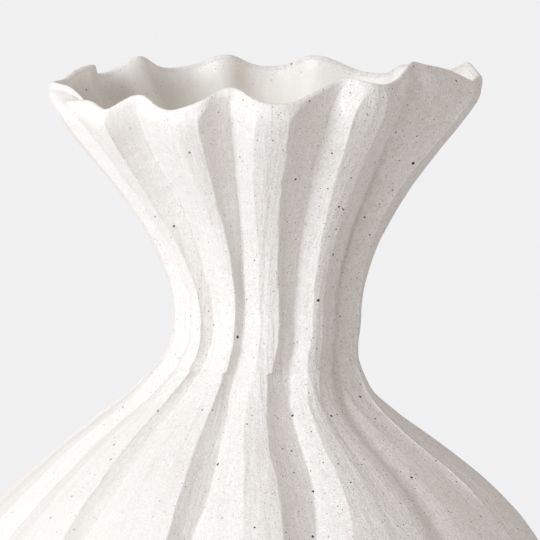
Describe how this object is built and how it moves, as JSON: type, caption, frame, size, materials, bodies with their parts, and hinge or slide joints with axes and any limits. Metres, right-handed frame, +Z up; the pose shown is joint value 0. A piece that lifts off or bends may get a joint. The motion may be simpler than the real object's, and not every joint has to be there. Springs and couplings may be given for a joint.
{
  "type": "fan vase",
  "caption": "Hand-fluted stoneware vase with a bulbous body, narrow waist and flared, ruffled mouth; bare speckled clay outside, clear glaze inside.",
  "frame": {"origin": "on the table under the middle of the body", "axes": "+Z up to the mouth, -Y the front as pictured, +X to the viewer's right"},
  "size_m": [0.2474, 0.2474, 0.3197],
  "materials": {
    "bare_clay": "matte unglazed off-white stoneware with fine grain and small dark iron specks",
    "joining_slip": "matte fired slip, smoothed over at the waist",
    "liner_glaze": "thin clear satin glaze over cream clay"
  },
  "bodies": {
    "root": {"base_slab": "bare_clay", "lower_body": "bare_clay", "waist_slip": "joining_slip", "flared_neck": "bare_clay", "glaze_lining": "liner_glaze"}
  },
  "joints": []
}
